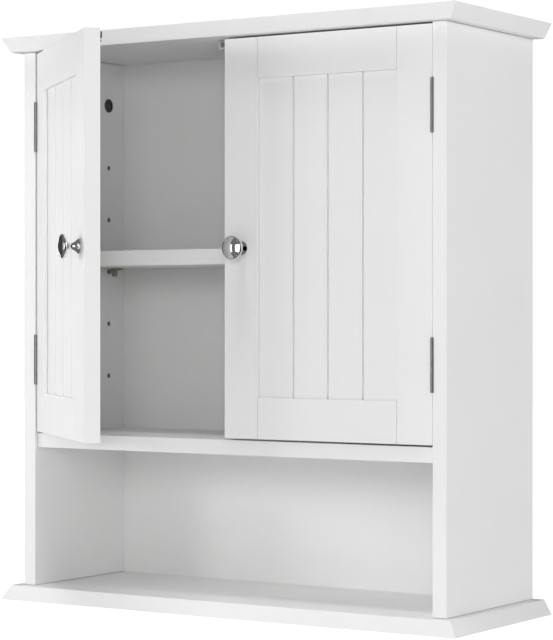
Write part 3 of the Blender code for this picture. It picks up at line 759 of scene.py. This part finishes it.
# ---- hinges ----
def make_leaf(name, node_name, facing, keeps):
    """A lower hinge's leaf and its rolled knuckles, with its screws.

    facing is +1 for the leaf on the side panel. keeps is 0 for the first, third and fifth knuckle from
    the bottom, 1 for the second and fourth.
    """
    line = Vector(JOINTS["right_door_hinge"]["pos_m"])
    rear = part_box(node_name)[1].y
    low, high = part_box("right_lower_hinge_fixed_leaf")
    bottom, top = low.z, high.z
    face = line.x + LEAF_GAP * facing
    sides = sorted((face, face + LEAF_THICKNESS * facing))
    plate = block(name, (sides[0], line.y, bottom), (sides[1], rear, top))
    round_edges(plate, 0.0016,
                lambda spot, direction: abs(direction.x) > 0.9 and spot.y > rear - 0.001)
    weld(plate, bar("barrel", (line.x, line.y, bottom), (line.x, line.y, top), BARREL_RADIUS, sides=48))
    step = (top - bottom) / KNUCKLES
    reach = BARREL_RADIUS + 0.0004
    gaps = []
    for number in range(KNUCKLES):
        if number % 2 == keeps:
            continue
        start = bottom + number * step - KNUCKLE_GAP
        end = start + step + 2 * KNUCKLE_GAP
        if number == 0:
            start -= OVERCUT
        if number == KNUCKLES - 1:
            end += OVERCUT
        gaps.append(block("knuckle gap", (line.x - reach, line.y - reach, start),
                          (line.x + reach, line.y + reach, end)))
    cut(plate, *gaps, bar("bore", (line.x, line.y, bottom - OVERCUT), (line.x, line.y, top + OVERCUT),
                          BORE_RADIUS))
    screws = []
    for number, rise in enumerate((-HINGE_SCREW_RISE, 0, HINGE_SCREW_RISE)):
        spot = (face, line.y + HINGE_SCREW_DEPTH, (bottom + top) / 2 + rise)
        cut(plate, sink(spot, (-facing, 0, 0), SCREW_HEAD, SCREW_SHANK, 0.004))
        if not screws:
            screws.append(flat_screw(f"{name}_screw_1", spot, (-facing, 0, 0)))
        else:
            offset = (0, 0, number * HINGE_SCREW_RISE)
            screws.append(shifted(screws[0], f"{name}_screw_{number + 1}", offset))
    return plate, screws


def make_hinges():
    lower = middle("right_lower_hinge_fixed_leaf")
    lift = middle("right_upper_hinge_fixed_leaf") - lower
    for part, facing, keeps, on_door in (("fixed_leaf", 1, 0, False), ("door_leaf", -1, 1, True)):
        leaf, screws = make_leaf(f"right_lower_{part}", f"right_lower_hinge_{part}", facing, keeps)
        upper = shifted(leaf, f"right_upper_{part}", lift)
        install_pair(leaf, "nickel", f"lower_hinge_{part}", on_door=on_door)
        install_pair(upper, "nickel", f"upper_hinge_{part}", on_door=on_door)
        for screw in screws:
            higher = shifted(screw, screw.name.replace("lower", "upper"), lift)
            install_pair(screw, "nickel", on_door=on_door)
            install_pair(higher, "nickel", on_door=on_door)
    low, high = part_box("right_lower_hinge_pin")
    radius = (high.x - low.x) / 2
    length = high.z - low.z
    centre = (low + high) / 2
    profile = [(radius * 0.55, 0), (radius * 0.9, 0.0002), (radius, 0.0006),
               (radius, length - 0.0006), (radius * 0.9, length - 0.0002), (radius * 0.55, length)]
    pin = turned("right_lower_pivot", profile, (centre.x, centre.y, low.z), (0, 0, 1), 24)
    upper = shifted(pin, "right_upper_pivot", lift)
    install_pair(pin, "nickel", "lower_hinge_pin")
    install_pair(upper, "nickel", "upper_hinge_pin")


# ---- doors ----
def make_stile(name, node_name, inner_sign, groove_front, groove_rear):
    """An upright with a groove along its inner edge for the beadboard and the rails' tongues."""
    low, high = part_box(node_name)
    stile = soften(block(name, low, high), DOOR_EDGE)
    inner = high.x if inner_sign > 0 else low.x
    groove = block("groove", (inner - BEAD_TONGUE - FIT, groove_front, low.z - OVERCUT),
                   (inner + BEAD_TONGUE + FIT, groove_rear, high.z + OVERCUT))
    return cut(stile, groove)


def make_rail(name, node_name, bead_sign, shoulders, groove_front, groove_rear):
    """A rail with a tongue at each end and a groove for the beadboard."""
    low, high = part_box(node_name)
    rail = soften(block(name, (shoulders[0], low.y, low.z), (shoulders[1], high.y, high.z)), DOOR_EDGE)
    tongue_front = (groove_front + groove_rear - RAIL_TONGUE) / 2
    tongue = block("tongue", (low.x, tongue_front, low.z + BOARD_EDGE),
                   (high.x, tongue_front + RAIL_TONGUE, high.z - BOARD_EDGE))
    weld(rail, tongue)
    edge = low.z if bead_sign < 0 else high.z
    groove = block("groove", (low.x - OVERCUT, groove_front, edge - BEAD_TONGUE - FIT),
                   (high.x + OVERCUT, groove_rear, edge + BEAD_TONGUE + FIT))
    return cut(rail, groove)


def make_beadboard():
    """A thin board with softened V grooves in its face at even spacing."""
    low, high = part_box("right_door_beadboard")
    board = block("right_beadboard", low, high)
    start, end = low.x + BEAD_TONGUE, high.x - BEAD_TONGUE
    grooves = []
    for number in range(1, BEAD_GROOVES + 1):
        x = start + (end - start) * number / (BEAD_GROOVES + 1)
        groove = bar("groove", (0, 0, low.z - OVERCUT), (0, 0, high.z + OVERCUT), BEAD_GROOVE_WIDTH / 2,
                     sides=4)
        groove.scale = (1, BEAD_GROOVE_DEPTH / (BEAD_GROOVE_WIDTH / 2), 1)
        settle(groove)
        groove.location = (x, low.y, 0)
        grooves.append(settle(groove))
    cut(board, *grooves)
    return soften(board, 0.00022, 2, 25)


def make_knob():
    """A mushroom knob: flared foot, waisted neck and a domed head with a round rim."""
    low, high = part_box("right_door_knob")
    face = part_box("right_door_free_stile")[0].y
    profile = [(0.0022, -0.0116), (0.0023, -0.0112), (0.0023, 0.0002), (0.0070, 0.0002), (0.0075, 0.0004),
               (0.0076, 0.0009), (0.0074, 0.0015), (0.0067, 0.0022), (0.0059, 0.0029), (0.0052, 0.0037),
               (0.0046, 0.0045), (0.0041, 0.0054), (0.0037, 0.0064), (0.0034, 0.0075), (0.0032, 0.0087),
               (0.0033, 0.0097), (0.0036, 0.0106), (0.0041, 0.0114), (0.0049, 0.0121), (0.0060, 0.0127)]
    for step in range(RIM_STEPS + 1):
        angle = math.radians(-80 + 150 * step / RIM_STEPS)
        profile.append((KNOB_HEAD - RIM + RIM * math.cos(angle), RIM_MIDDLE + RIM * math.sin(angle)))
    edge, start = profile[-1]
    profile.append((edge - 0.0003, start - 0.0003))
    rise = (face - low.y) - start + 0.0003
    for step in range(1, DOME_STEPS + 1):
        share = 1 - step / (DOME_STEPS + 0.4)
        profile.append(((edge - 0.0003) * share, start - 0.0003 + rise * (1 - share ** 2)))
    centre = (low + high) / 2
    return turned("right_knob", profile, (centre.x, face, centre.z), (0, -1, 0), 96)


def make_knob_bolt():
    """A pan-head screw from behind the stile into the knob."""
    low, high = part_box("right_door_knob_screw")
    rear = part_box("right_door_free_stile")[1].y
    centre = middle("right_door_knob")
    top = high.y
    head = (high.x - low.x) / 2
    profile = [(head * 0.55, top), (head * 0.82, top - 0.0003), (head * 0.97, top - 0.0010),
               (head, top - 0.0017), (head * 0.98, rear + 0.0001), (KNOB_BOLT_SHANK, rear),
               (KNOB_BOLT_SHANK, low.y)]
    bolt = turned("right_knob_bolt", profile, (centre.x, 0, centre.z), (0, 1, 0), 32)
    return cut(bolt, cross_recess((centre.x, top, centre.z), (0, 1, 0), head * 1.1, 0.0014))


def make_strikes():
    """Strike plates, each with its screw and a stud below it, on the doors' backs."""
    low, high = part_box("right_door_strike_plate")
    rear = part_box("right_door_free_stile")[1].y
    plate = block("right_strike", low, high)
    round_edges(plate, 0.0022, lambda spot, direction: abs(direction.y) > 0.9)
    soften(plate, 0.0002, 2)
    spot = Vector(((low.x + high.x) / 2, high.y, (low.z + high.z) / 2))
    cut(plate, sink(spot, (0, 1, 0), SMALL_HEAD, SMALL_SHANK, 0.008))
    install_pair(plate, "dark_steel", "door_strike_plate", on_door=True)
    screw = flat_screw("right_strike_screw", spot, (0, 1, 0), SMALL_HEAD, SMALL_SHANK, 0.009)
    install_pair(screw, "zinc", on_door=True)
    profile = [(0.0006, 0.0012), (0.0012, 0.0009), (0.0014, 0.0004), (0.0014, 0), (0.0008, 0),
               (0.0008, -0.008), (0.0003, -0.009)]
    stud = turned("right_strike_pin", profile, (low.x + 0.0016, rear, low.z - 0.0026), (0, 1, 0), 24)
    install_pair(stud, "dark_steel", on_door=True)


def make_doors():
    bead_low, bead_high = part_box("right_door_beadboard")
    groove = (bead_low.y - FIT, bead_high.y + FIT)
    hinge_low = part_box("right_door_hinge_stile")[0]
    free_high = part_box("right_door_free_stile")[1]
    shoulders = (free_high.x + FIT, hinge_low.x - FIT)

    hinge_stile = make_stile("right_hinge_stile", "right_door_hinge_stile", -1, *groove)
    for level in LEVELS:
        cut(hinge_stile, *hinge_mortises(level, -1))
    install_pair(hinge_stile, "white_paint", "door_hinge_stile", on_door=True)

    free_stile = make_stile("right_free_stile", "right_door_free_stile", 1, *groove)
    knob = middle("right_door_knob")
    cut(free_stile, bar("knob bore", (knob.x, free_high.y - KNOB_BORE_DEPTH, knob.z),
                        (knob.x, free_high.y + OVERCUT, knob.z), KNOB_BOLT_BORE))
    install_pair(free_stile, "white_paint", "door_free_stile", on_door=True)

    for stem, sign in (("top_rail", -1), ("bottom_rail", 1)):
        rail = make_rail(f"right_{stem}", f"right_door_{stem}", sign, shoulders, *groove)
        install_pair(rail, "white_paint", f"door_{stem}", on_door=True)
    install_pair(make_beadboard(), "white_paint", "door_beadboard", on_door=True)
    install_pair(make_knob(), "chrome", "door_knob", on_door=True)
    install_pair(make_knob_bolt(), "zinc", "door_knob_screw", on_door=True)
    make_strikes()


# ---- studio ----
SURROUND = 0.2                # strength of the studio walls as light
SURROUND_IN_METAL = 0.16      # and as polished metal mirrors them
# degrees round from the front towards the right, degrees up, size, watts, mirrored in metal
SOFTBOXES = {
    "front_wide": (14, 0, 1.3, 3.5, False),
    "front_raised": (15, 30, 1.4, 2.0, False),
    "right_front": (45, 0, 1.4, 6.0, False),
    "right_side": (98, 13, 1.4, 22.0, True),
    "left_front_wide": (-45, 0, 1.4, 5.0, False),
    "left_side_small": (-60, 8, 0.5, 17.0, False),
    "left_front_small": (-38, 8, 0.5, 7.0, False),
    "right_front_small": (30, 10, 0.5, 10.0, False),
    "overhead": (0, 76, 0.5, 20.0, False),
}
SOFTBOX_DISTANCE = 2.6
# cards that only reflections show: degrees round, degrees up, distance, width, height, brightness
CARDS = {
    "front_card": (20, 0, 2.0, 1.0, 1.6, 1.6),
    "left_front_card": (-20, 0, 2.0, 0.4, 1.6, 1.6),
    "right_flag": (62, -4, 1.5, 1.4, 1.6, 0.0),
    "left_flag": (-75, 0, 2.0, 1.6, 2.5, 0.06),
    "far_left_card": (-113, 0, 2.0, 0.7, 0.9, 1.5),
    "far_left_flag": (-113, 0, 2.2, 2.0, 2.4, 0.0),
}
AIM = Vector((0, -0.12, -0.29))    # middle of the cabinet, which lights and cards face
BACKDROP = 1.05               # strength of the studio walls as the camera sees them
FLOOR_DROP = 0.35             # floor below the underside of the base
FLOOR_RADIUS = 14
CAMERA_PLACE = (1.2971, -2.0845, -0.2817)
CAMERA_TURN = 33              # degrees round from the front towards the right
CAMERA_LENS = 129.63          # in millimetres, on the sensor below
CAMERA_SENSOR = 36
CAMERA_SHIFT = -0.01203       # of the view, in sensor widths


def by_ray(tree, kind, yes, no):
    """Choose a strength by the kind of ray that arrives; no is a socket or a number."""
    switch = node(tree, "MapRange")
    tree.links.new(node(tree, "LightPath").outputs[f"Is {kind} Ray"], switch.inputs["Value"])
    switch.inputs["To Max"].default_value = yes
    if isinstance(no, (int, float)):
        switch.inputs["To Min"].default_value = no
    else:
        tree.links.new(no, switch.inputs["To Min"])
    return switch.outputs["Result"]


def make_world():
    """Dim walls all round, seen as a plain white backdrop."""
    world = bpy.data.worlds.new("studio")
    bpy.context.scene.world = world
    world.use_nodes = True
    tree = world.node_tree
    shade = tree.nodes["Background"]
    shade.inputs["Color"].default_value = (1, 1, 1, 1)
    off_camera = by_ray(tree, "Glossy", SURROUND_IN_METAL, SURROUND)
    tree.links.new(by_ray(tree, "Camera", BACKDROP, off_camera), shade.inputs["Strength"])


def placed_round(thing, around, up, distance):
    """Stand a light or card round the cabinet, facing its middle with its -Z side."""
    around, up = math.radians(around), math.radians(up)
    outward = Vector((math.sin(around) * math.cos(up), -math.cos(around) * math.cos(up), math.sin(up)))
    thing.location = AIM + outward * distance
    thing.rotation_mode = "QUATERNION"
    thing.rotation_quaternion = outward.to_track_quat("Z", "Y")


def make_softbox(name, around, up, size, watts, mirrored):
    data = bpy.data.lights.new(name, "AREA")
    data.size = size
    data.energy = watts
    light = bpy.data.objects.new(name, data)
    bpy.context.scene.collection.objects.link(light)
    placed_round(light, around, up, SOFTBOX_DISTANCE)
    light.visible_glossy = mirrored


def make_card(name, around, up, distance, width, height, brightness):
    """A white or black card that only reflections show."""
    fresh()
    bpy.ops.mesh.primitive_plane_add(size=1)
    bpy.context.object.scale = (width, height, 1)
    card = named(name)
    material, tree, shader = start_material(name)
    nap = placed_group(tree, "mottle", Light=(1, 1, 1, 1), Dark=(0.93, 0.93, 0.93, 1), Scale=4.0)
    shader.inputs["Base Color"].default_value = (0, 0, 0, 1)
    shader.inputs["Roughness"].default_value = 1.0
    shader.inputs["Specular IOR Level"].default_value = 0.0
    tree.links.new(nap.outputs["Color"], shader.inputs["Emission Color"])
    shader.inputs["Emission Strength"].default_value = brightness
    card.data.materials.append(material)
    placed_round(card, around, up, distance)
    card.visible_camera = False
    card.visible_diffuse = False
    card.visible_transmission = False
    card.visible_shadow = False


def make_floor():
    """A pale floor that the camera sees as white as the backdrop."""
    fresh()
    bpy.ops.mesh.primitive_circle_add(vertices=96, radius=FLOOR_RADIUS, fill_type="NGON",
                                      location=(0, 0, CAD_BOX[0].z - FLOOR_DROP))
    floor = named("studio_floor")
    material, tree, shader = start_material("pale floor")
    grain = placed_group(tree, "mottle", Light=(0.93, 0.93, 0.93, 1), Dark=(0.91, 0.91, 0.91, 1),
                         Scale=2.0)
    tree.links.new(grain.outputs["Color"], shader.inputs["Base Color"])
    shader.inputs["Roughness"].default_value = 0.9
    shader.inputs["Emission Color"].default_value = (1, 1, 1, 1)
    tree.links.new(by_ray(tree, "Camera", 1.0, 0.0), shader.inputs["Emission Strength"])
    floor.data.materials.append(material)
    floor.visible_glossy = False


def make_camera():
    data = bpy.data.cameras.new("camera")
    data.lens = CAMERA_LENS
    data.sensor_width = CAMERA_SENSOR
    data.shift_y = CAMERA_SHIFT
    camera = bpy.data.objects.new("camera", data)
    bpy.context.scene.collection.objects.link(camera)
    camera.location = CAMERA_PLACE
    camera.rotation_euler = (math.radians(90), 0, math.radians(CAMERA_TURN))
    bpy.context.scene.camera = camera


def main():
    for name, item in frame["nodes"].items():
        item.data.materials.clear()
        item.data.materials.append(FINISHES[NODE_SLOTS[name]])
    make_side_panels()
    make_crown_base_and_fixed_shelf()
    make_loose_shelf_and_back()
    make_fastenings()
    make_shelf_pins()
    make_catch()
    make_keyhole_plates()
    make_hinges()
    make_doors()
    make_world()
    for name, settings in SOFTBOXES.items():
        make_softbox(name, *settings)
    for name, settings in CARDS.items():
        make_card(name, *settings)
    make_floor()
    make_camera()
    bpy.context.scene.view_settings.view_transform = "Standard"


main()
